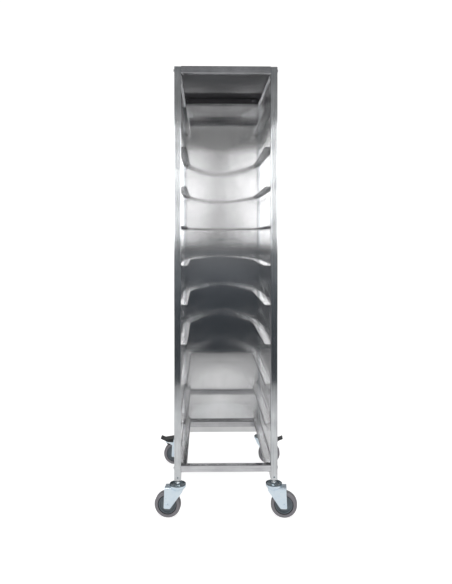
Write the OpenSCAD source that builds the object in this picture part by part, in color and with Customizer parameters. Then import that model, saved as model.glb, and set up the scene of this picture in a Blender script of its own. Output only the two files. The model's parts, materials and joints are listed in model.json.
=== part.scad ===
// Tray return trolley: an open-fronted stainless cabinet with ten tray levels on four swivel castors.
// X runs across, Y from the open front (minus) to the back (plus), Z up.
// The origin is on the floor under the middle. All sizes are in millimetres.

/* [Frame] */
// Width over the posts
frame_width = 380; // [370:1:400]
// Depth over the posts
frame_depth = 550; // [530:1:580]
// Height to the top of the top panel
frame_height = 1659; // [1640:1:1700]
// Outside size of the square tube
tube_size = 25; // [24:0.5:26]
// Wall of the square tube
tube_wall = 1.5; // [1.2:0.1:1.6]
// Outside corner radius of the square tube
tube_corner = 2.5; // [2.2:0.1:3]
// Height of the front and rear bottom rails' undersides above the posts' bottom ends
rail_rise = 30.5; // [28:0.5:34]
// Thickness of the nut plates in the cross rails' ends
nut_plate = 3; // [2:0.5:4]

/* [Sheets] */
// Thickness of the panels
sheet = 1.2; // [1:0.1:1.5]
// How far the side panels lie outside the posts' inner faces
panel_recess = 7; // [6:0.5:8]
// Width of the folded edges of the side panels
panel_fold = 12; // [10:0.5:14]
// Height of a stiffener channel
stiffener_height = 40; // [34:1:44]
// Depth of a stiffener channel
stiffener_depth = 9; // [7:0.5:9]
// Distance of the rivets from the middle of the depth
rivet_reach = 100; // [80:1:120]

/* [Runners] */
// Room between the top tray level and the top rails
top_space = 125; // [115:1:135]
// How far a runner stands in from the posts' inner faces
runner_reach = 23; // [20:0.5:26]
// Thickness of a runner
runner_sheet = 1.5; // [1.2:0.1:1.6]
// Outside bend radius of a runner's flange
runner_bend = 3; // [2.5:0.1:4]
// Height of a runner's rolled inner edge
lip_height = 8; // [7:0.5:8.5]
// Height of a runner's welding flange
flange_height = 9; // [8:0.5:12]
// How far a runner's ends stay behind the frame's faces
runner_end = 2; // [1:0.5:4]

/* [Fasteners] */
// Diameter of the frame bolts
bolt_size = 8; // [6:0.5:8]
// Diameter of the frame bolts' heads
bolt_head = 14; // [12:0.5:15]
// Height of the frame bolts' heads
bolt_dome = 3.5; // [3:0.1:4]
// How far the bolts reach into the rails
bolt_reach = 15; // [10:1:20]
// Diameter of the rivets
rivet_size = 4; // [3:0.1:4.2]
// Diameter of the rivets' heads
rivet_head = 7.5; // [6:0.1:8]
// Height of the rivets' heads
rivet_dome = 1.4; // [1:0.1:1.6]
// Height of the back rivets' lowest row above the posts' bottom ends
back_rivet_start = 60; // [56:1:70]
// Number of back rivets on each post
back_rivet_count = 5; // [3:1:6]
// Thickness of the post caps
cap_plate = 2; // [1.5:0.1:2.5]
// Depth of the post caps' plugs
cap_plug = 4; // [3:0.5:5]

/* [Castors] */
// Diameter of a wheel
wheel_size = 96; // [94:0.5:98]
// Width of a tyre
tyre_width = 27; // [25:0.5:29]
// Depth of rubber from the hub to the tread
tyre_depth = 15.5; // [14:0.5:17]
// Rounding of the tyre's shoulders
tyre_round = 6; // [4:0.5:7]
// Distance of the axle behind the swivel
trail = 37; // [36:0.5:38]
// Diameter of the axle
axle_size = 10; // [9:0.5:10]
// Diameter of the axle's heads
axle_head = 13; // [12:0.5:15]
// Height of the axle's heads
axle_dome = 3; // [2:0.1:3.5]
// Thickness of the fork's plate
fork_plate = 2.75; // [2.5:0.05:3]
// Gap between the fork's legs
fork_gap = 36; // [35:0.5:37]
// Outside bend radius of the fork
fork_bend = 5; // [4:0.1:6]
// Reach of the fork's feet before the axle
foot_front = 13.8; // [13:0.1:15]
// Reach of the fork's feet behind the axle
foot_back = 12; // [11:0.5:13]
// Reach of the fork's feet under the axle
foot_drop = 11.5; // [11:0.1:12]
// Corner radius of the fork's feet
foot_corner = 5; // [4:0.1:6]
// Room between the wheel and the fork's crown
crown_space = 15.25; // [14.5:0.05:17]
// Distance from the post's bottom end down to the crown's top
crown_drop = 24; // [23.5:0.1:25]
// Reach of the fork's crown behind the axle
crown_overhang = 9; // [8:0.5:10]
// Outside radius of the fork's cup
cup_radius = 30; // [29:0.1:31]
// Height of the cup above the crown
cup_height = 6; // [5.5:0.1:6.5]
// Diameter of the stem and king pin
stem_size = 10; // [9:0.5:11]
// Width across the flats of the stem's nut
nut_flats = 16; // [15:0.5:17]
// Height of the stem's nut
nut_height = 8; // [6:0.5:9]
// Radius of the bearing ring
bearing_radius = 18; // [17.5:0.1:19]
// Thickness of the bearing ring
bearing_size = 4; // [3.5:0.1:4]
// Length of the plug in a post's bottom
plug_length = 32; // [28:0.5:33]
// Height of the plug's pin above the posts' bottom ends
pin_height = 10.5; // [8:0.5:12]
// Diameter of the plug's pin
pin_size = 6; // [5:0.1:7]
// Angle by which the front castors are turned from straight out to the side
front_turn = 8; // [0:1:12]
// Angle by which the rear castors are turned from straight out to the side
rear_turn = 4; // [0:1:4]

/* [Brakes] */
// Distance of the pedal's pin from the tread
pedal_pin_lift = 12.5; // [12:0.1:13]
// Angle of the pedal's pin over the axle
pedal_pin_angle = 67.7; // [67:0.1:68.5]
// Diameter of the pedal's pin
pedal_pin_size = 6; // [5:0.1:6.5]
// Length of the pedal from its pin to its tip
pedal_length = 38; // [32:0.5:40]
// Rise of the pedal's tip above its pin
pedal_rise = 15; // [12:0.5:16]
// Thickness of the pedal's foot plate
pedal_plate = 4; // [3:0.1:5]
// Width of the pedal's foot plate
pedal_width = 42; // [38:1:46]

/* [Hidden] */
$fn = 24;
// Extra length of a cutting tool past the faces it cuts
overrun = 5;
// Clearance of a part that turns on a pin, all round
running_gap = 0.05;
// Clearance between parts that move past each other
free_gap = 0.5;
// Number of straight sides of a wheel's outline
wheel_sides = 40;

post_x = (frame_width - tube_size) / 2;
post_y = (frame_depth - tube_size) / 2;
inner_x = frame_width / 2 - tube_size;
inner_y = frame_depth / 2 - tube_size;
tube_inside = tube_size - 2 * tube_wall;
corner_inside = tube_corner - tube_wall;
rail_top = frame_height - sheet;
post_top = rail_top - cap_plate;
crown_top = wheel_size + crown_space + fork_plate;
post_bottom = crown_top + crown_drop;
low_rail_bottom = post_bottom + rail_rise;
low_rail_top = low_rail_bottom + tube_size;
side_rail_top = post_bottom + tube_size;
bolt_heights = [low_rail_bottom + tube_size / 2, rail_top - tube_size / 2];
panel_x = inner_x + panel_recess;
runner_x = inner_x - runner_reach;
runner_length = frame_depth - 2 * runner_end;
// The lowest runners rest on the bottom rails, the others share the height above them
level_count = 10;
first_level = low_rail_top + lip_height;
top_level = rail_top - tube_size - top_space;
level_pitch = (top_level - first_level) / (level_count - 1);
// Heights of the stiffeners, counted in tray levels above the lowest one
stiffener_shares = [3.345, 6.307];
stiffener_heights = [for (share = stiffener_shares) first_level + share * level_pitch];
// How far the rivets reach past the stiffeners
rivet_tail = 2.4;
back_y = frame_depth / 2;
back_rivet_step = (post_top - post_bottom - 2 * back_rivet_start) / (back_rivet_count - 1);

axle_height = wheel_size / 2;
crown_reach = trail + crown_overhang;
fork_half = fork_gap / 2 + fork_plate;
cup_top = crown_top + cup_height;
cup_inside = cup_radius - fork_plate;
stem_radius = stem_size / 2;
leg_front = -sqrt(cup_radius * cup_radius - fork_half * fork_half);
// Centres of the foot's rounded corners
foot_front_x = trail - foot_front + foot_corner;
foot_back_x = trail + foot_back - foot_corner;
foot_z = axle_height - foot_drop + foot_corner;
// The leg's front edge runs from the cup's edge down to the foot's front corner
edge_run = foot_front_x + cup_radius;
edge_fall = crown_top - foot_z;
edge_length = sqrt(edge_run * edge_run + edge_fall * edge_fall);
edge_angle = atan2(edge_fall, edge_run) + asin(foot_corner / edge_length);
// How much of the foot's corner radius the leg's straight edges reach
foot_share = 0.99;
// The cone under the cup follows the same edge until it meets the legs
skirt_drop = (cup_radius - fork_half) * tan(edge_angle);
skirt_wall = fork_plate / sin(edge_angle);
hub_radius = wheel_size / 2 - tyre_depth;
plug_top = post_bottom + plug_length;
stem_top = post_bottom + plug_length - overrun;

// The dished head: its floor above the crown, its plate and the rim that lies over the cup
head_lift = 3;
head_plate = 2.2;
head_rim_height = 3.5;
head_rim_width = 2;
head_margin = 1.5;
head_floor_radius = nut_flats / 2 + head_margin;
head_floor = crown_top + head_lift;
head_rim_floor = cup_top + free_gap;
nut_bottom = head_floor + head_plate;
// How far the king pin's head stands out round the pin
pin_head_rim = 4;

// The dish in each of the axle's heads
dish_size = axle_head - 4;
dish_depth = axle_dome / 2;

// The wheel's hub: boss, web and rim
boss_radius = 10;
hub_rim = 4;
hub_web = 15;
hub_inset = 1.5;
hub_rim_width = tyre_width - 2 * hub_inset;
boss_width = fork_gap - 2 * free_gap;
// Groove where the tyre meets the hub
tyre_step = 2.5;
tyre_step_depth = 5;

// The brake
pedal_pin_radius = wheel_size / 2 + pedal_pin_lift;
pedal_pin_reach = trail + pedal_pin_radius * cos(pedal_pin_angle);
pedal_pin_height = axle_height + pedal_pin_radius * sin(pedal_pin_angle);
pedal_boss_wall = 2.5;
pedal_boss = pedal_pin_size / 2 + pedal_boss_wall;
pedal_inside = fork_gap - 4 * free_gap;
pedal_neck = 19;
// The pedal's hood over the crown, as long behind the pin as the neck is before it, and its cheeks
hood_under = crown_top - pedal_pin_height + 4 * free_gap;
cheek_plate = 2.5;
cheek_inside = fork_half + axle_dome / 2 + free_gap;
hood_width = 2 * (cheek_inside + cheek_plate);
// The ears that hold the pedal's pin
ear_reach = 15;
ear_under = 7;
ear_foot = 26;
fork_length = pedal_pin_reach + ear_reach - leg_front + overrun;
// The shoe's tip, close over the tread
shoe_gap = 3;
shoe_angle = 55.4;
shoe_radius = wheel_size / 2 + shoe_gap;
shoe_x = trail + shoe_radius * cos(shoe_angle) - pedal_pin_reach;
shoe_z = axle_height + shoe_radius * sin(shoe_angle) - pedal_pin_height;

steel = [0.78, 0.78, 0.79];
sheet_steel = [0.72, 0.72, 0.74];
zinc = [0.8, 0.84, 0.88];
dark_zinc = [0.3, 0.33, 0.35];
rubber = [0.45, 0.44, 0.46];
hub_grey = [0.38, 0.43, 0.47];
black = [0.07, 0.07, 0.08];

// Shared shapes

module rounded_square(side, corner) {
    square([side, side - 2 * corner], center = true);
    square([side - 2 * corner, side], center = true);
    for (x = [-1, 1]) {
        for (y = [-1, 1]) {
            translate([x * (side / 2 - corner), y * (side / 2 - corner)]) circle(corner);
        }
    }
}

module tube(length) {
    linear_extrude(length, center = true) difference() {
        rounded_square(tube_size, tube_corner);
        rounded_square(tube_inside, corner_inside);
    }
}

// A round head on a straight shank, pointing along +Z, with its head's flat face at zero
module headed_pin(shank, head, dome, length) {
    dome_radius = (head * head / 4 + dome * dome) / (2 * dome);
    translate([0, 0, -length]) cylinder(d = shank, h = length + dome / 2);
    intersection() {
        translate([0, 0, dome - dome_radius]) sphere(dome_radius, $fn = 2 * $fn);
        cylinder(d = head, h = dome + overrun);
    }
}

module at_posts() {
    for (x = [-1, 1]) {
        for (y = [-1, 1]) {
            translate([x * post_x, y * post_y, 0]) children();
        }
    }
}

// Frame

module frame_bolt_holes() {
    for (z = bolt_heights) {
        translate([0, 0, z]) rotate([0, 90, 0]) cylinder(d = bolt_size, h = tube_size + 2 * overrun, center = true);
    }
}

module back_rivet_places() {
    for (i = [0 : back_rivet_count - 1]) {
        translate([0, 0, post_bottom + back_rivet_start + i * back_rivet_step]) children();
    }
}

module post(x, y) {
    color(steel) difference() {
        translate([x * post_x, y * post_y, (post_top + post_bottom) / 2]) tube(post_top - post_bottom);
        translate([x * post_x, y * post_y, 0]) frame_bolt_holes();
        if (y < 0) {
            translate([x * post_x, -frame_depth / 2, post_bottom + pin_height]) {
                rotate([90, 0, 0]) cylinder(d = pin_size, h = 2 * overrun, center = true);
            }
        }
        if (y > 0) {
            translate([x * frame_width / 2, post_y, post_bottom + pin_height]) {
                rotate([0, 90, 0]) cylinder(d = pin_size, h = 2 * overrun, center = true);
            }
            back_rivet_places() translate([x * post_x, back_y, 0]) rotate([90, 0, 0]) {
                cylinder(d = rivet_size, h = 2 * overrun, center = true);
            }
        }
    }
}

module post_front_left() { post(-1, -1); }
module post_front_right() { post(1, -1); }
module post_rear_left() { post(-1, 1); }
module post_rear_right() { post(1, 1); }

module cross_rail(y, bottom) {
    color(steel) translate([0, y * post_y, bottom + tube_size / 2]) rotate([0, 90, 0]) difference() {
        linear_extrude(2 * inner_x, center = true) rounded_square(tube_size, tube_corner);
        linear_extrude(2 * inner_x - 2 * nut_plate, center = true) rounded_square(tube_inside, corner_inside);
        cylinder(d = bolt_size, h = 2 * inner_x + overrun, center = true);
    }
}

module rail_front_top() { cross_rail(-1, rail_top - tube_size); }
module rail_front_bottom() { cross_rail(-1, low_rail_bottom); }
module rail_rear_top() { cross_rail(1, rail_top - tube_size); }
module rail_rear_bottom() { cross_rail(1, low_rail_bottom); }

module side_rail(x, bottom) {
    color(steel) translate([x * post_x, 0, bottom + tube_size / 2]) rotate([90, 0, 0]) tube(2 * inner_y);
}

module rail_left_top() { side_rail(-1, rail_top - tube_size); }
module rail_right_top() { side_rail(1, rail_top - tube_size); }
module rail_left_bottom() { side_rail(-1, post_bottom); }
module rail_right_bottom() { side_rail(1, post_bottom); }

module post_caps() {
    color(steel) at_posts() {
        translate([0, 0, post_top]) linear_extrude(cap_plate) rounded_square(tube_size, tube_corner);
        translate([0, 0, post_top - cap_plug]) linear_extrude(cap_plug) rounded_square(tube_inside, corner_inside);
    }
}

module frame_bolts() {
    color(steel) for (x = [0, 1]) {
        mirror([x, 0, 0]) for (y = [-1, 1]) {
            for (z = bolt_heights) {
                translate([frame_width / 2, y * post_y, z]) rotate([0, 90, 0]) {
                    headed_pin(bolt_size, bolt_head, bolt_dome, tube_size + bolt_reach);
                }
            }
        }
    }
}

// Sheets

module panel_rivet_places() {
    for (y = [-1, 1]) {
        for (z = stiffener_heights) {
            translate([panel_x, y * rivet_reach, z]) rotate([0, -90, 0]) children();
        }
    }
}

module panel_right() {
    low = side_rail_top;
    high = rail_top - tube_size;
    color(sheet_steel) difference() {
        translate([panel_x, -inner_y, low]) cube([panel_fold, 2 * inner_y, high - low]);
        translate([panel_x + sheet, sheet - inner_y, low + sheet]) {
            cube([panel_fold, 2 * (inner_y - sheet), high - low - 2 * sheet]);
        }
        panel_rivet_places() cylinder(d = rivet_size, h = 2 * overrun, center = true);
    }
}

module panel_left() { mirror([1, 0, 0]) panel_right(); }

module stiffeners_right() {
    color(sheet_steel) difference() {
        for (z = stiffener_heights) {
            translate([panel_x + sheet, sheet - inner_y, z - stiffener_height / 2]) difference() {
                cube([stiffener_depth, 2 * (inner_y - sheet), stiffener_height]);
                translate([sheet, -overrun, sheet]) {
                    cube([stiffener_depth, 2 * (inner_y + overrun), stiffener_height - 2 * sheet]);
                }
            }
        }
        panel_rivet_places() cylinder(d = rivet_size, h = 2 * overrun, center = true);
    }
}

module stiffeners_left() { mirror([1, 0, 0]) stiffeners_right(); }

module panel_rivets() {
    color(steel) for (x = [0, 1]) {
        mirror([x, 0, 0]) panel_rivet_places() headed_pin(rivet_size, rivet_head, rivet_dome, 2 * sheet + rivet_tail);
    }
}

module panel_back() {
    color(sheet_steel) difference() {
        translate([-frame_width / 2, back_y, post_bottom]) cube([frame_width, sheet, frame_height - post_bottom]);
        for (x = [-1, 1]) {
            back_rivet_places() translate([x * post_x, back_y, 0]) rotate([90, 0, 0]) {
                cylinder(d = rivet_size, h = 2 * overrun, center = true);
            }
        }
    }
}

module back_rivets() {
    color(steel) for (x = [-1, 1]) {
        back_rivet_places() translate([x * post_x, back_y + sheet, 0]) rotate([-90, 0, 0]) {
            headed_pin(rivet_size, rivet_head, rivet_dome, sheet + 2 * tube_wall);
        }
    }
}

module panel_top() {
    color(sheet_steel) difference() {
        translate([0, 0, rail_top + sheet / 2]) cube([frame_width, frame_depth, sheet], center = true);
        at_posts() translate([0, 0, rail_top]) cube([tube_size, tube_size, 2 * overrun], center = true);
    }
}

// Runners

// A flat ledge with a rolled inner edge and an outer flange welded to the side panel
module runner_section() {
    roll = lip_height / 2;
    width = panel_x - runner_x;
    bend_x = width - runner_bend;
    translate([runner_x, 0]) difference() {
        union() {
            translate([roll, -flange_height]) square([bend_x - roll, flange_height]);
            translate([roll, -flange_height]) square([width - roll, flange_height - runner_bend]);
            translate([bend_x, -runner_bend]) circle(runner_bend);
            translate([roll, -roll]) circle(roll);
        }
        translate([roll, -flange_height - overrun]) {
            square([bend_x - roll, flange_height + overrun - runner_sheet]);
            square([width - runner_sheet - roll, flange_height + overrun - runner_bend]);
        }
        translate([bend_x, -runner_bend]) circle(runner_bend - runner_sheet);
        translate([roll, -roll]) circle(roll - runner_sheet);
    }
}

module runner(level) {
    height = first_level + (level - 1) * level_pitch;
    difference() {
        translate([0, 0, height]) rotate([90, 0, 0]) linear_extrude(runner_length, center = true) runner_section();
        for (y = [0, 1]) {
            mirror([0, y, 0]) translate([inner_x, inner_y, height - flange_height - overrun]) {
                cube([tube_size, tube_size + overrun, flange_height + 2 * overrun]);
            }
        }
    }
}

module runner_pair(level) {
    color(steel) {
        runner(level);
        mirror([1, 0, 0]) runner(level);
    }
}

module runners_01() { runner_pair(1); }
module runners_02() { runner_pair(2); }
module runners_03() { runner_pair(3); }
module runners_04() { runner_pair(4); }
module runners_05() { runner_pair(5); }
module runners_06() { runner_pair(6); }
module runners_07() { runner_pair(7); }
module runners_08() { runner_pair(8); }
module runners_09() { runner_pair(9); }
module runners_10() { runner_pair(10); }

// Castor pieces that stay with the frame

module castor_plugs() {
    color(black) at_posts() difference() {
        translate([0, 0, post_bottom]) linear_extrude(plug_length) rounded_square(tube_inside, corner_inside);
        translate([0, 0, post_bottom - overrun]) cylinder(r = stem_radius, h = plug_length);
    }
}

module plug_pins() {
    color(dark_zinc) for (x = [-1, 1]) {
        translate([x * post_x, -frame_depth / 2, post_bottom + pin_height]) {
            rotate([90, 0, 0]) translate([0, 0, -tube_wall]) cylinder(d = pin_size, h = tube_wall);
        }
        translate([x * frame_width / 2, post_y, post_bottom + pin_height]) {
            rotate([0, x * 90, 0]) translate([0, 0, -tube_wall]) cylinder(d = pin_size, h = tube_wall);
        }
    }
}

module hexagon(flats) {
    intersection_for (turn = [0, 60, 120]) {
        rotate(turn) square([flats, 2 * flats], center = true);
    }
}

module castor_stems() {
    pin_head = stem_radius + pin_head_rim;
    pin_head_top = crown_top - fork_plate - free_gap;
    color(zinc) at_posts() {
        translate([0, 0, pin_head_top - fork_plate]) cylinder(r = stem_radius, h = stem_top - pin_head_top + fork_plate);
        translate([0, 0, pin_head_top - fork_plate]) cylinder(r = pin_head, h = fork_plate);
        translate([0, 0, nut_bottom]) linear_extrude(nut_height) hexagon(nut_flats);
    }
}

module castor_heads() {
    rim_top = head_rim_floor + head_rim_height;
    color(dark_zinc) at_posts() rotate_extrude($fn = wheel_sides) polygon([
        [stem_radius, head_floor],
        [head_floor_radius, head_floor],
        [cup_inside - free_gap, head_rim_floor],
        [cup_radius, head_rim_floor],
        [cup_radius, rim_top],
        [cup_radius - head_rim_width, rim_top],
        [head_floor_radius, head_floor + head_plate],
        [stem_radius, head_floor + head_plate]
    ]);
}

module castor_bearings() {
    color(zinc) at_posts() translate([0, 0, crown_top + free_gap + bearing_size / 2]) {
        rotate_extrude($fn = wheel_sides) translate([bearing_radius, 0]) circle(d = bearing_size);
    }
}

// Castor pieces that swivel. Each is drawn with its swivel on Z and its wheel behind, towards +X.

module at_castor(x, y) {
    turn = y < 0 ? front_turn : rear_turn;
    translate([x * post_x, y * post_y, 0]) rotate((x > 0 ? 0 : 180) - turn) children();
}

module fork_section() {
    difference() {
        translate([-fork_half, 0]) square([2 * fork_half, crown_top - fork_bend]);
        translate([-fork_gap / 2, -overrun]) square([fork_gap, crown_top - fork_bend + 2 * overrun]);
    }
    difference() {
        union() {
            translate([fork_bend - fork_half, crown_top - fork_bend]) square([2 * (fork_half - fork_bend), fork_bend]);
            for (side = [-1, 1]) {
                translate([side * (fork_half - fork_bend), crown_top - fork_bend]) circle(fork_bend);
            }
        }
        inner = fork_bend - fork_plate;
        translate([fork_bend - fork_half, crown_top - 2 * fork_bend]) {
            square([2 * (fork_half - fork_bend), 2 * fork_bend - fork_plate]);
        }
        translate([-fork_gap / 2, crown_top - 2 * fork_bend]) square([fork_gap, fork_bend]);
        for (side = [-1, 1]) {
            translate([side * (fork_half - fork_bend), crown_top - fork_bend]) circle(inner);
        }
    }
}

module leg_outline(braked) {
    reach = foot_corner * foot_share;
    polygon([
        [leg_front, crown_top],
        [crown_reach, crown_top],
        [foot_back_x + reach, foot_z],
        [foot_back_x, foot_z - reach],
        [foot_front_x, foot_z - reach],
        [foot_front_x - reach * sin(edge_angle), foot_z - reach * cos(edge_angle)],
        [-fork_half, crown_top - skirt_drop]
    ]);
    translate([foot_front_x, foot_z]) circle(foot_corner);
    translate([foot_back_x, foot_z]) circle(foot_corner);
    if (braked) {
        polygon([
            [leg_front, crown_top],
            [crown_reach, crown_top],
            [pedal_pin_reach + ear_reach, pedal_pin_height + pedal_boss / 2],
            [pedal_pin_reach + ear_reach, pedal_pin_height - ear_under / 2],
            [pedal_pin_reach, pedal_pin_height - ear_under],
            [crown_reach, crown_top - ear_foot],
            [trail, crown_top - ear_foot]
        ]);
    }
}

module across(height, length) {
    translate([0, 0, height]) rotate([90, 0, 0]) linear_extrude(length, center = true) children();
}

module fork(braked) {
    cup_floor = crown_top - fork_plate;
    color(zinc) difference() {
        union() {
            intersection() {
                translate([leg_front, 0, 0]) rotate([90, 0, 90]) linear_extrude(fork_length) fork_section();
                across(0, 2 * fork_half + overrun) leg_outline(braked);
            }
            rotate_extrude($fn = wheel_sides) polygon([
                [0, cup_floor],
                [cup_radius - skirt_wall - fork_plate / tan(edge_angle), cup_floor],
                [fork_half - skirt_wall, crown_top - skirt_drop],
                [fork_half, crown_top - skirt_drop],
                [cup_radius, crown_top],
                [cup_radius, cup_top],
                [cup_inside, cup_top],
                [cup_inside, crown_top],
                [0, crown_top]
            ]);
        }
        translate([0, 0, cup_floor - overrun]) cylinder(r = stem_radius + running_gap, h = cup_height + overrun);
        translate([trail, 0, axle_height]) rotate([90, 0, 0]) {
            cylinder(d = axle_size, h = 2 * fork_half + overrun, center = true);
        }
        if (braked) {
            translate([pedal_pin_reach, 0, pedal_pin_height]) rotate([90, 0, 0]) {
                cylinder(d = pedal_pin_size, h = 2 * fork_half + overrun, center = true);
            }
        }
    }
}

module axle() {
    color(zinc) translate([trail, 0, axle_height]) for (side = [-1, 1]) {
        rotate([side * 90, 0, 0]) {
            cylinder(d = axle_size, h = fork_half);
            translate([0, 0, fork_half]) difference() {
                cylinder(d = axle_head, h = axle_dome);
                translate([0, 0, axle_dome - dish_depth]) cylinder(d = dish_size, h = axle_dome);
            }
        }
    }
}

// Half of a ring's section, from its inner to its outer radius and half as thick as its width
module half_ring(inner, outer, width) {
    translate([inner, 0]) square([outer - inner, width / 2]);
}

module hub() {
    bore = axle_size / 2 + running_gap;
    color(hub_grey) translate([trail, 0, axle_height]) rotate([90, 0, 0]) rotate_extrude($fn = wheel_sides) {
        for (side = [0, 1]) {
            mirror([0, side]) {
                half_ring(bore, boss_radius, boss_width);
                half_ring(bore, hub_radius, hub_web);
                half_ring(hub_radius - hub_rim, hub_radius, hub_rim_width);
            }
        }
    }
}

module tyre() {
    outside = wheel_size / 2;
    color(rubber) translate([trail, 0, axle_height]) rotate([90, 0, 0]) rotate_extrude($fn = wheel_sides) {
        for (side = [0, 1]) {
            mirror([0, side]) {
                half_ring(hub_radius, outside, tyre_width - 2 * tyre_round);
                half_ring(hub_radius + tyre_step, outside - tyre_round, tyre_width);
                half_ring(hub_radius, outside - tyre_round, tyre_width - 2 * tyre_step_depth);
                translate([outside - tyre_round, tyre_width / 2 - tyre_round]) circle(tyre_round);
            }
        }
    }
}

module brake_pin() {
    color(zinc) translate([pedal_pin_reach, 0, pedal_pin_height]) for (side = [-1, 1]) {
        rotate([side * 90, 0, 0]) {
            cylinder(d = pedal_pin_size, h = fork_half);
            translate([0, 0, fork_half]) cylinder(r = pedal_boss, h = axle_dome / 2);
        }
    }
}

module brake_pedal() {
    color(black) translate([pedal_pin_reach, 0, pedal_pin_height]) difference() {
        union() {
            across(0, pedal_inside) circle(pedal_boss);
            across(0, pedal_inside) polygon([
                [0, pedal_boss],
                [pedal_neck, pedal_rise / 2 + pedal_plate / 2],
                [pedal_neck, pedal_rise / 2 - pedal_plate / 2],
                [2 * shoe_x, shoe_z / 2],
                [shoe_x, shoe_z],
                [0, -pedal_boss]
            ]);
            across(0, pedal_width) polygon([
                [pedal_neck, pedal_rise / 2 + pedal_plate / 2],
                [pedal_length, pedal_rise + pedal_plate / 2],
                [pedal_length, pedal_rise - pedal_plate / 2],
                [pedal_neck, pedal_rise / 2 - pedal_plate / 2]
            ]);
            across(0, hood_width) polygon([
                [-pedal_neck, hood_under + pedal_plate],
                [pedal_neck, pedal_rise / 2 + pedal_plate / 2],
                [pedal_neck, pedal_rise / 2 - pedal_plate / 2],
                [-pedal_neck, hood_under]
            ]);
            for (side = [-1, 1]) {
                translate([0, side * (cheek_inside + cheek_plate / 2), 0]) across(0, cheek_plate) polygon([
                    [-pedal_neck, hood_under + pedal_plate / 2],
                    [pedal_neck, pedal_rise / 2],
                    [pedal_boss, 0],
                    [-pedal_neck, 0]
                ]);
            }
        }
        rotate([90, 0, 0]) {
            cylinder(r = pedal_pin_size / 2 + running_gap, h = pedal_inside + overrun, center = true);
        }
    }
}

module fork_front_left() { at_castor(-1, -1) fork(false); }
module axle_front_left() { at_castor(-1, -1) axle(); }
module hub_front_left() { at_castor(-1, -1) hub(); }
module tyre_front_left() { at_castor(-1, -1) tyre(); }
module fork_front_right() { at_castor(1, -1) fork(false); }
module axle_front_right() { at_castor(1, -1) axle(); }
module hub_front_right() { at_castor(1, -1) hub(); }
module tyre_front_right() { at_castor(1, -1) tyre(); }
module fork_rear_left() { at_castor(-1, 1) fork(true); }
module axle_rear_left() { at_castor(-1, 1) axle(); }
module hub_rear_left() { at_castor(-1, 1) hub(); }
module tyre_rear_left() { at_castor(-1, 1) tyre(); }
module fork_rear_right() { at_castor(1, 1) fork(true); }
module axle_rear_right() { at_castor(1, 1) axle(); }
module hub_rear_right() { at_castor(1, 1) hub(); }
module tyre_rear_right() { at_castor(1, 1) tyre(); }
module brake_pin_left() { at_castor(-1, 1) brake_pin(); }
module brake_pedal_left() { at_castor(-1, 1) brake_pedal(); }
module brake_pin_right() { at_castor(1, 1) brake_pin(); }
module brake_pedal_right() { at_castor(1, 1) brake_pedal(); }

post_front_left();
post_front_right();
post_rear_left();
post_rear_right();
rail_front_top();
rail_front_bottom();
rail_rear_top();
rail_rear_bottom();
rail_left_top();
rail_right_top();
rail_left_bottom();
rail_right_bottom();
post_caps();
frame_bolts();
panel_left();
panel_right();
stiffeners_left();
stiffeners_right();
panel_rivets();
panel_back();
back_rivets();
panel_top();
runners_01();
runners_02();
runners_03();
runners_04();
runners_05();
runners_06();
runners_07();
runners_08();
runners_09();
runners_10();
castor_plugs();
plug_pins();
castor_stems();
castor_heads();
castor_bearings();
fork_front_left();
axle_front_left();
hub_front_left();
tyre_front_left();
fork_front_right();
axle_front_right();
hub_front_right();
tyre_front_right();
fork_rear_left();
axle_rear_left();
hub_rear_left();
tyre_rear_left();
fork_rear_right();
axle_rear_right();
hub_rear_right();
tyre_rear_right();
brake_pin_left();
brake_pedal_left();
brake_pin_right();
brake_pedal_right();
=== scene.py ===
"""Looks of the tray return trolley: materials, studio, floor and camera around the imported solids."""
import json
import math

import bpy
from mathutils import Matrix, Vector

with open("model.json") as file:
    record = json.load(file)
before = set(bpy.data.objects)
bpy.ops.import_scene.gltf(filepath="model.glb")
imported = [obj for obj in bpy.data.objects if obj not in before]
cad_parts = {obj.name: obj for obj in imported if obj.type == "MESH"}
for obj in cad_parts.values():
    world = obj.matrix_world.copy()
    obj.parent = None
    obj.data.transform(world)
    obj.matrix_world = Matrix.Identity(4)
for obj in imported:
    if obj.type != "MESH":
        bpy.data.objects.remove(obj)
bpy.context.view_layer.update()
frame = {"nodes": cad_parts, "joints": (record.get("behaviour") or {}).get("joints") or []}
nodes = frame["nodes"]

# Photograph's frame in pixels, its camera's sensor in millimetres, and where the camera stood, in metres
IMAGE_W = 452
IMAGE_H = 584
SENSOR = 36.0
FOCAL_PX = 609.0
HORIZON_PX = 234.8
DEPTH_VANISH_PX = 205.0
CAMERA_PLACE = Vector((-0.077, -2.510, 1.040))
CAMERA_YAW = math.radians(1.07)
CAMERA_REACH = 50.0

# Floor, in metres: its edges, its finish, and how bright the camera sees it and the steel mirrors it
FLOOR_FRONT = -2.29
FLOOR_BACK = 6.0
FLOOR_HALF = 6.0
FLOOR_COLOUR = (0.30, 0.30, 0.30, 1.0)
FLOOR_ROUGH = 0.8
FLOOR_SHINE = 0.2
FLOOR_GLOW = 0.90
FLOOR_MIRRORED = 0.62
# The mirrored floor brightens from the first depth to the second
FLOOR_FADE = (-2.35, -1.45)

# Curved card round the front, in metres: the depth of its centre, its radius and how far it reaches each way
ROOM_MIDDLE = 0.28
ROOM_RADIUS = 2.58
ROOM_SWEEP = math.radians(50)
ROOM_FACETS = 40
# What the steel mirrors of the room in front: heights and brightness, dark below and dim above
LOW_STEPS = ((0.0, 0.05), (0.27, 0.06), (0.48, 0.08), (0.588, 0.11), (0.694, 0.155), (0.80, 0.19))
HIGH_STEPS = ((2.35, 0.20), (2.9, 0.10))
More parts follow.
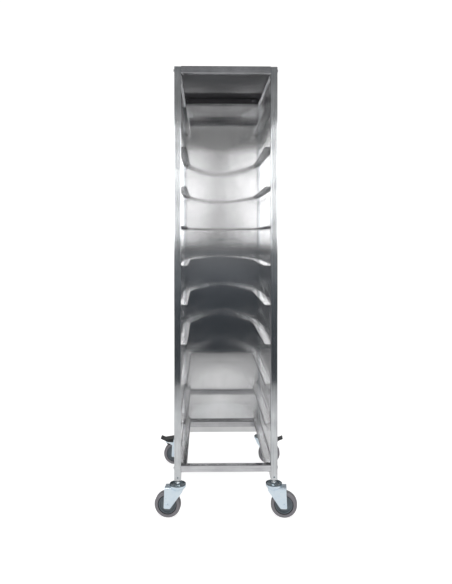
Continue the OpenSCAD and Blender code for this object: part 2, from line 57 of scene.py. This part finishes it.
# The middle of the room is dim at eye height
ROOM_STEPS = LOW_STEPS + (
    (0.886, 0.23), (0.95, 0.26), (1.00, 0.27), (1.04, 0.34), (1.08, 0.48), (1.12, 0.60), (1.223, 0.66),
    (1.33, 0.74), (1.435, 0.82), (1.541, 0.70), (1.647, 0.55), (1.753, 0.42), (1.81, 0.36), (1.86, 0.31),
    (2.10, 0.29),
) + HIGH_STEPS
# Its sides have a wide soft light there
SIDE_STEPS = LOW_STEPS + (
    (0.886, 0.26), (0.92, 0.60), (0.945, 2.20), (0.975, 4.60), (1.04, 6.60), (1.21, 8.00), (1.46, 8.80),
    (1.60, 8.80), (1.72, 8.40), (1.78, 8.00), (1.81, 5.00), (1.84, 1.60), (1.87, 0.40), (2.10, 0.30),
) + HIGH_STEPS
# Distances from the middle at which the side lights begin and are full
SIDE_START = 0.84
SIDE_FULL = 1.05

# Brightness of the rest by the sine of the height over the horizon
SURROUNDINGS = (
    (-1.0, 0.80), (-0.35, 0.50), (-0.24, 0.22), (-0.15, 0.17), (-0.10, 0.19), (-0.065, 0.24), (-0.044, 0.31),
    (-0.025, 0.40), (-0.005, 0.52), (0.035, 0.66), (0.095, 0.74), (0.16, 0.70), (0.19, 0.60), (0.22, 0.48),
    (0.32, 0.28), (0.65, 0.18), (1.0, 0.80),
)
# Darker parts of the surroundings are a little blue
COOL = (0.80, 0.965, 1.16)
COOL_BELOW = 0.30
# The white that the camera sees behind the trolley
WORLD_WHITE = (1.05, 1.05, 1.05, 1.0)

# Soft light overhead, in metres and watts
LIGHT_WIDTH = 3.0
LIGHT_DEPTH = 2.4
LIGHT_POWER = 90.0
LIGHT_PLACE = (0.0, -1.0, 3.6)
LIGHT_TILT = math.radians(-12)

# Colours, linear
STEEL = (0.56, 0.56, 0.575)
# Steel of the posts, a little bluer than the rest: a painted cool reflection
POST_STEEL_COOL_REFLECTION = (0.545, 0.56, 0.573)
# Steel of the other rear rails, darkened as painted shade
LOWER_REAR_RAIL_SHADE_STEEL = (0.44, 0.44, 0.45)
# Steel of the rear top rail, darkened as painted shade
TOP_REAR_RAIL_SHADE_STEEL = (0.09, 0.09, 0.095)
FIXING_STEEL = (0.62, 0.62, 0.63)
CAP_STEEL = (0.27, 0.27, 0.28)
CAP_LIGHT = (0.34, 0.34, 0.35)
TOP_SHEET = (0.32, 0.32, 0.325)
SHEET = (0.64, 0.64, 0.645)
PALE_SHEET = (0.92, 0.92, 0.925)
RUNNER = (0.50, 0.50, 0.505)
# Colour of the runners' downward faces: painted shade
RUNNER_UNDER_PAINTED_SHADE = (0.16, 0.16, 0.165)
ZINC = (0.66, 0.76, 0.84)
PALE_ZINC = (0.72, 0.80, 0.86)
BRIGHT_ZINC = (0.82, 0.86, 0.88)
WHITE_ZINC = (0.90, 0.92, 0.93)
DARK_ZINC = (0.17, 0.21, 0.23)
DEEP_ZINC = (0.13, 0.17, 0.20)
RUBBER = (0.235, 0.225, 0.245)
# Darker outer edge of the tyre: painted shade
TYRE_EDGE_PAINTED_SHADE = (0.14, 0.135, 0.145)
# Near-black ring in the groove between tyre and hub: painted shade
TYRE_GROOVE_PAINTED_SHADE = (0.025, 0.025, 0.035)
HUB = (0.125, 0.155, 0.18)
# Dark edge of the hub at the groove: painted shade
HUB_EDGE_PAINTED_SHADE = (0.05, 0.06, 0.075)
BLACK = (0.006, 0.006, 0.007)
BLACK_LIGHT = (0.010, 0.010, 0.011)
DUST = (0.36, 0.35, 0.34)

# Directions of the brushing
UPRIGHT = (0.0, 0.0, 1.0)
ALONG_X = (1.0, 0.0, 0.0)
ALONG_Y = (0.0, 1.0, 0.0)
# Streaks in a metre across and along the brushing, smudges in a metre, and how strongly they show
GRAIN_ACROSS = 320.0
GRAIN_ALONG = 7.0
SMUDGE = 16.0
GRAIN_SHARE = 0.5
GRAIN_ROUGH = 0.12
GRAIN_HEIGHT = 0.000012
SHEET_WEAR = 0.08
TUBE_WEAR = 0.22
# A face counts as an underside, and gets painted shade, as its normal's upward part falls from the second
# value to the first
UNDERSIDE = (-0.9, -0.3)
# Patches of plating or dust in a metre, and how much dust there is
PATCH = 70.0
DUST_SHARE = 0.10
# How fine a noise is, and the part of its range that is used
NOISE_DETAIL = 3.0
NOISE_LOW = 0.3
NOISE_HIGH = 0.7

# Fans of light across the brushing: share, roughness, stretch and sideways tilt
FAINT_HAZE = ((0.05, 0.40, 0.0, 0.0),)
TOP_HAZE = ((0.32, 0.50, 0.0, 0.0),)
SIDE_FAN = ((0.80, 0.15, 0.92, 0.0),)
POST_FAN = ((0.16, 0.17, 0.90, 0.0), (0.04, 0.50, 0.0, 0.0))
# The back panel's five lobes side by side have equal shares, so its fan has a flat top
FAN_STEP = 0.065
PANEL_SPREAD = 0.088
PANEL_STRETCH = 0.806
PANEL_FAN = (
    (1 / 2, PANEL_SPREAD, PANEL_STRETCH, -2 * FAN_STEP),
    (1 / 3, PANEL_SPREAD, PANEL_STRETCH, -FAN_STEP),
    (1 / 4, PANEL_SPREAD, PANEL_STRETCH, FAN_STEP),
    (1 / 5, PANEL_SPREAD, PANEL_STRETCH, 2 * FAN_STEP),
)

# The wheels' rings of colour: distance from the axle in metres, and colour. The near-black rings at the
# groove between tyre and hub, and the darkening towards the tyre's outer edge, are painted shade.
TYRE_RINGS_AND_SHADE = (
    (0.032, TYRE_GROOVE_PAINTED_SHADE), (0.0348, TYRE_GROOVE_PAINTED_SHADE), (0.0358, RUBBER), (0.0435, RUBBER), (0.048, TYRE_EDGE_PAINTED_SHADE),
)
HUB_RINGS_AND_SHADE = ((0.0, HUB), (0.0315, HUB), (0.0326, HUB_EDGE_PAINTED_SHADE))

# Sockets of a Mix node that mixes colours
MIX_FIRST = 6
MIX_SECOND = 7
MIX_RESULT = 2


def new_material(name):
    material = bpy.data.materials.new(name)
    material.use_nodes = True
    return material, material.node_tree.nodes, material.node_tree.links


def noise_value(tree_nodes, links, spots, high=1.0):
    """A noise as a value from zero to high; spots is how many of its spots lie in a metre each way."""
    place = tree_nodes.new("ShaderNodeTexCoord")
    scale = tree_nodes.new("ShaderNodeMapping")
    scale.inputs["Scale"].default_value = spots
    noise = tree_nodes.new("ShaderNodeTexNoise")
    noise.inputs["Scale"].default_value = 1.0
    noise.inputs["Detail"].default_value = NOISE_DETAIL
    reach = tree_nodes.new("ShaderNodeMapRange")
    reach.inputs["From Min"].default_value = NOISE_LOW
    reach.inputs["From Max"].default_value = NOISE_HIGH
    reach.inputs["To Max"].default_value = high
    links.new(place.outputs["Object"], scale.inputs["Vector"])
    links.new(scale.outputs["Vector"], noise.inputs["Vector"])
    links.new(noise.outputs["Fac"], reach.inputs["Value"])
    return reach.outputs["Result"]


def opaque(colour):
    return (*colour, 1.0)


def shade(colour, amount):
    return opaque(min(1.0, part * amount) for part in colour)


def colour_mix(tree_nodes, links, value):
    """A node that mixes two colours by the value."""
    mix = tree_nodes.new("ShaderNodeMix")
    mix.data_type = "RGBA"
    links.new(value, mix.inputs["Factor"])
    return mix


def two_tone(tree_nodes, links, value, first, second):
    """A colour that goes from first to second with the value."""
    mix = colour_mix(tree_nodes, links, value)
    mix.inputs[MIX_FIRST].default_value = first
    mix.inputs[MIX_SECOND].default_value = second
    return mix.outputs[MIX_RESULT]


def raised(tree_nodes, links, value, height):
    """A normal for a surface that stands up by height where the value is one."""
    bump = tree_nodes.new("ShaderNodeBump")
    bump.inputs["Strength"].default_value = 1.0
    bump.inputs["Distance"].default_value = height
    links.new(value, bump.inputs["Height"])
    return bump.outputs["Normal"]


def painted_underside_shade(tree_nodes, links, surface, tint, underside_shade):
    """The colour of a sheet with painted shade on its downward faces, which take a darker colour."""
    facing = tree_nodes.new("ShaderNodeSeparateXYZ")
    upper = tree_nodes.new("ShaderNodeMapRange")
    upper.inputs["From Min"].default_value = UNDERSIDE[0]
    upper.inputs["From Max"].default_value = UNDERSIDE[1]
    links.new(surface.outputs["Normal"], facing.inputs["Vector"])
    links.new(facing.outputs["Z"], upper.inputs["Value"])
    mix = colour_mix(tree_nodes, links, upper.outputs["Result"])
    mix.inputs[MIX_FIRST].default_value = opaque(underside_shade)
    links.new(tint, mix.inputs[MIX_SECOND])
    return mix.outputs[MIX_RESULT]


def grain_tone(tree_nodes, links, streaks):
    """Streaks and smudges, half each, as one value."""
    smudges = noise_value(tree_nodes, links, (SMUDGE, SMUDGE, SMUDGE))
    half = tree_nodes.new("ShaderNodeMath")
    half.operation = "MULTIPLY"
    half.inputs[1].default_value = GRAIN_SHARE
    blend = tree_nodes.new("ShaderNodeMath")
    blend.operation = "MULTIPLY_ADD"
    blend.inputs[1].default_value = GRAIN_SHARE
    links.new(smudges, half.inputs[0])
    links.new(streaks, blend.inputs[0])
    links.new(half.outputs["Value"], blend.inputs[2])
    return blend.outputs["Value"]


def add_fan(tree_nodes, links, result, fan, tint, normal, across):
    """Mix a share of light, fanned out across the brushing and tilted sideways, into the result."""
    share, rough, stretch, tilt = fan
    tilted = tree_nodes.new("ShaderNodeVectorMath")
    tilted.operation = "MULTIPLY_ADD"
    tilted.inputs[1].default_value = (tilt, tilt, tilt)
    spread = tree_nodes.new("ShaderNodeBsdfAnisotropic")
    spread.inputs["Roughness"].default_value = rough
    spread.inputs["Anisotropy"].default_value = -stretch
    both = tree_nodes.new("ShaderNodeMixShader")
    both.inputs["Fac"].default_value = share
    links.new(across, tilted.inputs[0])
    links.new(normal, tilted.inputs[2])
    links.new(tint, spread.inputs["Color"])
    links.new(tilted.outputs["Vector"], spread.inputs["Normal"])
    links.new(across, spread.inputs["Tangent"])
    links.new(result, both.inputs[1])
    links.new(spread.outputs["BSDF"], both.inputs[2])
    return both.outputs["Shader"]


def brushed(name, colour, grain_axis, rough, fans, wear=SHEET_WEAR, fan_colour=None, underside_shade=None):
    """Brushed stainless: streaks along the grain, a narrow gleam, and light fanned out across the grain."""
    material, tree_nodes, links = new_material(name)
    spots = [GRAIN_ACROSS + part * (GRAIN_ALONG - GRAIN_ACROSS) for part in grain_axis]
    streaks = noise_value(tree_nodes, links, spots)
    tone = grain_tone(tree_nodes, links, streaks)
    normal = raised(tree_nodes, links, streaks, GRAIN_HEIGHT)
    shader = tree_nodes["Principled BSDF"]
    shader.inputs["Metallic"].default_value = 1.0
    shader.inputs["Anisotropic"].default_value = 1.0
    dull = tree_nodes.new("ShaderNodeMapRange")
    dull.inputs["To Min"].default_value = rough * (1.0 - GRAIN_ROUGH)
    dull.inputs["To Max"].default_value = rough * (1.0 + GRAIN_ROUGH)
    links.new(tone, dull.inputs["Value"])
    links.new(dull.outputs["Result"], shader.inputs["Roughness"])
    dark = 1.0 - wear
    light = 1.0 + wear
    surface = tree_nodes.new("ShaderNodeNewGeometry")
    tint = two_tone(tree_nodes, links, tone, shade(colour, dark), shade(colour, light))
    # Downward faces get painted shade where it is given
    if underside_shade:
        tint = painted_underside_shade(tree_nodes, links, surface, tint, underside_shade)
    links.new(tint, shader.inputs["Base Color"])
    links.new(normal, shader.inputs["Normal"])
    across = tree_nodes.new("ShaderNodeVectorMath")
    across.operation = "CROSS_PRODUCT"
    across.inputs[1].default_value = grain_axis
    links.new(surface.outputs["Normal"], across.inputs[0])
    links.new(across.outputs["Vector"], shader.inputs["Tangent"])
    if fan_colour:
        tint = two_tone(tree_nodes, links, tone, shade(fan_colour, dark), shade(fan_colour, light))
    result = shader.outputs["BSDF"]
    for fan in fans:
        result = add_fan(tree_nodes, links, result, fan, tint, normal, across.outputs["Vector"])
    links.new(result, tree_nodes["Material Output"].inputs["Surface"])
    return material


def finish_plain(tree_nodes, links, rough, mottle, height):
    """Roughness and a faint bump from one fine noise."""
    shader = tree_nodes["Principled BSDF"]
    spots = noise_value(tree_nodes, links, (mottle, mottle, mottle))
    dull = tree_nodes.new("ShaderNodeMapRange")
    dull.inputs["To Min"].default_value = rough[0]
    dull.inputs["To Max"].default_value = rough[1]
    links.new(spots, dull.inputs["Value"])
    links.new(dull.outputs["Result"], shader.inputs["Roughness"])
    links.new(raised(tree_nodes, links, spots, height), shader.inputs["Normal"])


def plain(name, colours, metallic, rough, mottle, height):
    """A plated or moulded finish: two tones in patches, roughness and bump from a fine mottle."""
    material, tree_nodes, links = new_material(name)
    shader = tree_nodes["Principled BSDF"]
    shader.inputs["Metallic"].default_value = metallic
    patches = noise_value(tree_nodes, links, (PATCH, PATCH, PATCH))
    tint = two_tone(tree_nodes, links, patches, opaque(colours[0]), opaque(colours[1]))
    links.new(tint, shader.inputs["Base Color"])
    finish_plain(tree_nodes, links, rough, mottle, height)
    return material


def ring_colour(tree_nodes, links, place, axle, rings):
    """Rings of colour by distance from the axle."""
    low = rings[0][0]
    high = rings[-1][0]
    where = tree_nodes.new("ShaderNodeTexCoord")
    offset = tree_nodes.new("ShaderNodeVectorMath")
    offset.operation = "SUBTRACT"
    offset.inputs[1].default_value = place
    aside = tree_nodes.new("ShaderNodeVectorMath")
    aside.operation = "CROSS_PRODUCT"
    aside.inputs[1].default_value = axle
    radius = tree_nodes.new("ShaderNodeVectorMath")
    radius.operation = "LENGTH"
    share = tree_nodes.new("ShaderNodeMapRange")
    share.inputs["From Min"].default_value = low
    share.inputs["From Max"].default_value = high
    ramp = tree_nodes.new("ShaderNodeValToRGB")
    stops = ramp.color_ramp.elements
    stops[0].color = opaque(rings[0][1])
    stops[1].color = opaque(rings[-1][1])
    for distance, colour in rings[1:-1]:
        stops.new((distance - low) / (high - low)).color = opaque(colour)
    links.new(where.outputs["Object"], offset.inputs[0])
    links.new(offset.outputs["Vector"], aside.inputs[0])
    links.new(aside.outputs["Vector"], radius.inputs[0])
    links.new(radius.outputs["Value"], share.inputs["Value"])
    links.new(share.outputs["Result"], ramp.inputs["Fac"])
    return ramp.outputs["Color"]


def wheel_finish(name, joint, rings, rough, mottle, height):
    """A wheel's finish: rings of colour round the axle, some of them painted shade, dusty in patches."""
    material, tree_nodes, links = new_material(name)
    shader = tree_nodes["Principled BSDF"]
    patches = noise_value(tree_nodes, links, (PATCH, PATCH, PATCH), DUST_SHARE)
    dust = colour_mix(tree_nodes, links, patches)
    dust.inputs[MIX_SECOND].default_value = opaque(DUST)
    rings_and_shade = ring_colour(tree_nodes, links, joint["pos_m"], joint["axis"], rings)
    links.new(rings_and_shade, dust.inputs[MIX_FIRST])
    links.new(dust.outputs[MIX_RESULT], shader.inputs["Base Color"])
    finish_plain(tree_nodes, links, rough, mottle, height)
    return material


# Stainless steel
# The posts' steel is tinted bluer as a painted cool reflection
tube_upright = brushed("tube_upright", POST_STEEL_COOL_REFLECTION, UPRIGHT, rough=0.15, fans=POST_FAN, wear=TUBE_WEAR)
tube_across = brushed("tube_across", STEEL, ALONG_X, rough=0.13, fans=FAINT_HAZE, wear=TUBE_WEAR)
# The rear top rail is a near-black copy of the tube steel: painted shade
tube_top_rear_painted_shade = brushed("tube_top_rear_painted_shade", TOP_REAR_RAIL_SHADE_STEEL, ALONG_X, rough=0.13, fans=FAINT_HAZE)
# The other rear rails are a darker copy of the tube steel: painted shade
tube_rear_painted_shade = brushed("tube_rear_painted_shade", LOWER_REAR_RAIL_SHADE_STEEL, ALONG_X, rough=0.13, fans=FAINT_HAZE, wear=TUBE_WEAR)
tube_deep = brushed("tube_deep", STEEL, ALONG_Y, rough=0.11, fans=FAINT_HAZE, wear=TUBE_WEAR)
panel_steel = brushed("panel_steel", SHEET, UPRIGHT, rough=0.112, fans=PANEL_FAN)
side_steel = brushed("side_steel", SHEET, UPRIGHT, rough=0.10, fans=SIDE_FAN, fan_colour=PALE_SHEET)
top_steel = brushed("top_steel", TOP_SHEET, ALONG_Y, rough=0.12, fans=TOP_HAZE)
# The runners' downward faces are painted darker: painted shade
runner_steel = brushed("runner_steel", RUNNER, ALONG_Y, rough=0.10, fans=FAINT_HAZE, underside_shade=RUNNER_UNDER_PAINTED_SHADE)
fixing_steel = plain(
    "fixing_steel", (STEEL, FIXING_STEEL), metallic=1.0, rough=(0.20, 0.30), mottle=400.0, height=0.00001)
cap_steel = plain(
    "cap_steel", (CAP_STEEL, CAP_LIGHT), metallic=1.0, rough=(0.28, 0.40), mottle=400.0, height=0.00001)

# Plated and moulded parts of the castors
fork_zinc = plain(
    "fork_zinc", (ZINC, PALE_ZINC), metallic=1.0, rough=(0.27, 0.37), mottle=250.0, height=0.00001)
bright_zinc = plain(
    "bright_zinc", (BRIGHT_ZINC, WHITE_ZINC), metallic=1.0, rough=(0.22, 0.32), mottle=300.0, height=0.00001)
dark_zinc = plain(
    "dark_zinc", (DARK_ZINC, DEEP_ZINC), metallic=1.0, rough=(0.15, 0.24), mottle=300.0, height=0.00001)
black_plastic = plain(
    "black_plastic", (BLACK, BLACK_LIGHT), metallic=0.0, rough=(0.34, 0.46), mottle=900.0, height=0.00004)
wheel_materials = {}
for joint in frame["joints"]:
    if joint["name"].startswith("roll_"):
        corner = joint["name"][len("roll_"):]
        wheel_materials["tyre_" + corner] = wheel_finish(
            "rubber_" + corner, joint, TYRE_RINGS_AND_SHADE, rough=(0.60, 0.74), mottle=700.0, height=0.00003)
        wheel_materials["hub_" + corner] = wheel_finish(
            "hub_plastic_" + corner, joint, HUB_RINGS_AND_SHADE, rough=(0.40, 0.52), mottle=700.0, height=0.00002)

# The material of each node by the start of its name; the first start that fits counts
MATERIAL_BY_START = (
    ("post_caps", cap_steel),
    ("post_", tube_upright),
    ("rail_rear_top", tube_top_rear_painted_shade),
    ("rail_rear", tube_rear_painted_shade),
    ("rail_front", tube_across),
    ("rail_", tube_deep),
    ("stiffeners", tube_deep),
    ("frame_bolts", fixing_steel),
    ("panel_rivets", fixing_steel),
    ("back_rivets", fixing_steel),
    ("panel_top", top_steel),
    ("panel_back", panel_steel),
    ("panel_", side_steel),
    ("runners", runner_steel),
    ("castor_plugs", black_plastic),
    ("plug_pins", dark_zinc),
    ("castor_stems", bright_zinc),
    ("castor_heads", dark_zinc),
    ("castor_bearings", bright_zinc),
    ("fork_", fork_zinc),
    ("axle_", fork_zinc),
    ("brake_pin", bright_zinc),
    ("brake_pedal", black_plastic),
)


def material_for(name):
    if name in wheel_materials:
        return wheel_materials[name]
    return next(material for start, material in MATERIAL_BY_START if name.startswith(start))


for node_name in nodes:
    node_mesh = nodes[node_name].data
    node_mesh.materials.clear()
    node_mesh.materials.append(material_for(node_name))


def build_floor():
    """A pale floor. The camera sees it evenly bright; mirrored, it darkens towards the front."""
    corners = [
        (-FLOOR_HALF, FLOOR_FRONT, 0.0), (FLOOR_HALF, FLOOR_FRONT, 0.0),
        (FLOOR_HALF, FLOOR_BACK, 0.0), (-FLOOR_HALF, FLOOR_BACK, 0.0),
    ]
    mesh = bpy.data.meshes.new("floor")
    mesh.from_pydata(corners, [], [(0, 1, 2, 3)])
    floor = bpy.data.objects.new("floor", mesh)
    bpy.context.scene.collection.objects.link(floor)
    material, tree_nodes, links = new_material("pale_floor")
    shader = tree_nodes["Principled BSDF"]
    shader.inputs["Base Color"].default_value = FLOOR_COLOUR
    shader.inputs["Roughness"].default_value = FLOOR_ROUGH
    shader.inputs["Specular IOR Level"].default_value = FLOOR_SHINE
    shader.inputs["Emission Color"].default_value = (1.0, 1.0, 1.0, 1.0)
    place = tree_nodes.new("ShaderNodeTexCoord")
    split = tree_nodes.new("ShaderNodeSeparateXYZ")
    fade = tree_nodes.new("ShaderNodeMapRange")
    fade.inputs["From Min"].default_value = FLOOR_FADE[0]
    fade.inputs["From Max"].default_value = FLOOR_FADE[1]
    fade.inputs["To Max"].default_value = FLOOR_MIRRORED
    path = tree_nodes.new("ShaderNodeLightPath")
    glow = tree_nodes.new("ShaderNodeMix")
    glow.inputs["B"].default_value = FLOOR_GLOW
    links.new(place.outputs["Object"], split.inputs["Vector"])
    links.new(split.outputs["Y"], fade.inputs["Value"])
    links.new(path.outputs["Is Camera Ray"], glow.inputs["Factor"])
    links.new(fade.outputs["Result"], glow.inputs["A"])
    links.new(glow.outputs["Result"], shader.inputs["Emission Strength"])
    mesh.materials.append(material)


def fill_ramp(ramp, steps, white):
    """Set a grey ramp from (place, brightness) steps; white is the brightness that its white stands for."""
    low = steps[0][0]
    high = steps[-1][0]
    stops = ramp.color_ramp.elements
    for index, (place, value) in enumerate(steps):
        if index == 0:
            stop = stops[0]
        elif index == len(steps) - 1:
            stop = stops[len(stops) - 1]
        else:
            stop = stops.new((place - low) / (high - low))
        cool = max(0.0, 1.0 - value / COOL_BELOW)
        level = value / white
        stop.color = opaque(level * (1.0 + cool * (tint - 1.0)) for tint in COOL)


def brightest(steps):
    return max(value for _, value in steps)


def build_card(name, low, high):
    """A curved upright card round the front of the trolley, seen only in reflections."""
    corners = []
    for step in range(ROOM_FACETS + 1):
        angle = ROOM_SWEEP * (2.0 * step / ROOM_FACETS - 1.0)
        across = ROOM_RADIUS * math.sin(angle)
        depth = ROOM_MIDDLE - ROOM_RADIUS * math.cos(angle)
        corners.append((across, depth, low))
        corners.append((across, depth, high))
    faces = [(2 * step, 2 * step + 2, 2 * step + 3, 2 * step + 1) for step in range(ROOM_FACETS)]
    mesh = bpy.data.meshes.new(name)
    mesh.from_pydata(corners, [], faces)
    card = bpy.data.objects.new(name, mesh)
    bpy.context.scene.collection.objects.link(card)
    card.visible_camera = False
    card.visible_diffuse = False
    card.visible_shadow = False
    return mesh


def build_room():
    """The room in front, as bright as its steps say by height, in the middle and at both sides."""
    low = ROOM_STEPS[0][0]
    high = ROOM_STEPS[-1][0]
    white = brightest(SIDE_STEPS)
    material, tree_nodes, links = new_material("room_front")
    shader = tree_nodes["Principled BSDF"]
    shader.inputs["Base Color"].default_value = (0.0, 0.0, 0.0, 1.0)
    shader.inputs["Specular IOR Level"].default_value = 0.0
    shader.inputs["Emission Strength"].default_value = white
    place = tree_nodes.new("ShaderNodeTexCoord")
    split = tree_nodes.new("ShaderNodeSeparateXYZ")
    height = tree_nodes.new("ShaderNodeMapRange")
    height.inputs["From Min"].default_value = low
    height.inputs["From Max"].default_value = high
    away = tree_nodes.new("ShaderNodeMath")
    away.operation = "ABSOLUTE"
    aside = tree_nodes.new("ShaderNodeMapRange")
    aside.inputs["From Min"].default_value = SIDE_START
    aside.inputs["From Max"].default_value = SIDE_FULL
    links.new(place.outputs["Object"], split.inputs["Vector"])
    links.new(split.outputs["Z"], height.inputs["Value"])
    links.new(split.outputs["X"], away.inputs[0])
    links.new(away.outputs["Value"], aside.inputs["Value"])
    glow = colour_mix(tree_nodes, links, aside.outputs["Result"])
    for steps, socket in ((ROOM_STEPS, MIX_FIRST), (SIDE_STEPS, MIX_SECOND)):
        ramp = tree_nodes.new("ShaderNodeValToRGB")
        fill_ramp(ramp, steps, white)
        links.new(height.outputs["Result"], ramp.inputs["Fac"])
        links.new(ramp.outputs["Color"], glow.inputs[socket])
    links.new(glow.outputs[MIX_RESULT], shader.inputs["Emission Color"])
    build_card("room_front", low, high).materials.append(material)


def build_surroundings():
    """A white studio. The steel mirrors it as a soft band of light with darker bands under and over it."""
    world = bpy.data.worlds.new("studio")
    bpy.context.scene.world = world
    world.use_nodes = True
    tree_nodes = world.node_tree.nodes
    links = world.node_tree.links
    background = tree_nodes["Background"]
    direction = tree_nodes.new("ShaderNodeTexCoord")
    split = tree_nodes.new("ShaderNodeSeparateXYZ")
    share = tree_nodes.new("ShaderNodeMapRange")
    share.inputs["From Min"].default_value = SURROUNDINGS[0][0]
    share.inputs["From Max"].default_value = SURROUNDINGS[-1][0]
    white = brightest(SURROUNDINGS)
    ramp = tree_nodes.new("ShaderNodeValToRGB")
    fill_ramp(ramp, SURROUNDINGS, white)
    brighten = tree_nodes.new("ShaderNodeVectorMath")
    brighten.operation = "SCALE"
    brighten.inputs["Scale"].default_value = white
    path = tree_nodes.new("ShaderNodeLightPath")
    links.new(direction.outputs["Generated"], split.inputs["Vector"])
    links.new(split.outputs["Z"], share.inputs["Value"])
    links.new(share.outputs["Result"], ramp.inputs["Fac"])
    links.new(ramp.outputs["Color"], brighten.inputs[0])
    choose = colour_mix(tree_nodes, links, path.outputs["Is Camera Ray"])
    choose.inputs[MIX_SECOND].default_value = WORLD_WHITE
    links.new(brighten.outputs["Vector"], choose.inputs[MIX_FIRST])
    links.new(choose.outputs[MIX_RESULT], background.inputs["Color"])


def build_light():
    """One wide soft light overhead, a little in front."""
    data = bpy.data.lights.new("soft_overhead", "AREA")
    data.shape = "RECTANGLE"
    data.size = LIGHT_WIDTH
    data.size_y = LIGHT_DEPTH
    data.energy = LIGHT_POWER
    light = bpy.data.objects.new("soft_overhead", data)
    bpy.context.scene.collection.objects.link(light)
    light.location = LIGHT_PLACE
    light.rotation_euler = (LIGHT_TILT, 0.0, 0.0)
    light.visible_camera = False
    light.visible_glossy = False


def build_camera():
    data = bpy.data.cameras.new("camera")
    camera = bpy.data.objects.new("camera", data)
    bpy.context.scene.collection.objects.link(camera)
    data.sensor_width = SENSOR
    data.sensor_fit = "AUTO"
    data.lens = FOCAL_PX * SENSOR / IMAGE_H
    axis_px = DEPTH_VANISH_PX + FOCAL_PX * math.tan(CAMERA_YAW)
    data.shift_x = (IMAGE_W / 2 - axis_px) / IMAGE_H
    data.shift_y = (HORIZON_PX - IMAGE_H / 2) / IMAGE_H
    data.clip_end = CAMERA_REACH
    camera.location = CAMERA_PLACE
    camera.rotation_euler = (math.pi / 2, 0.0, -CAMERA_YAW)
    bpy.context.scene.camera = camera


build_floor()
build_room()
build_surroundings()
build_light()
build_camera()
bpy.context.scene.view_settings.view_transform = "Standard"
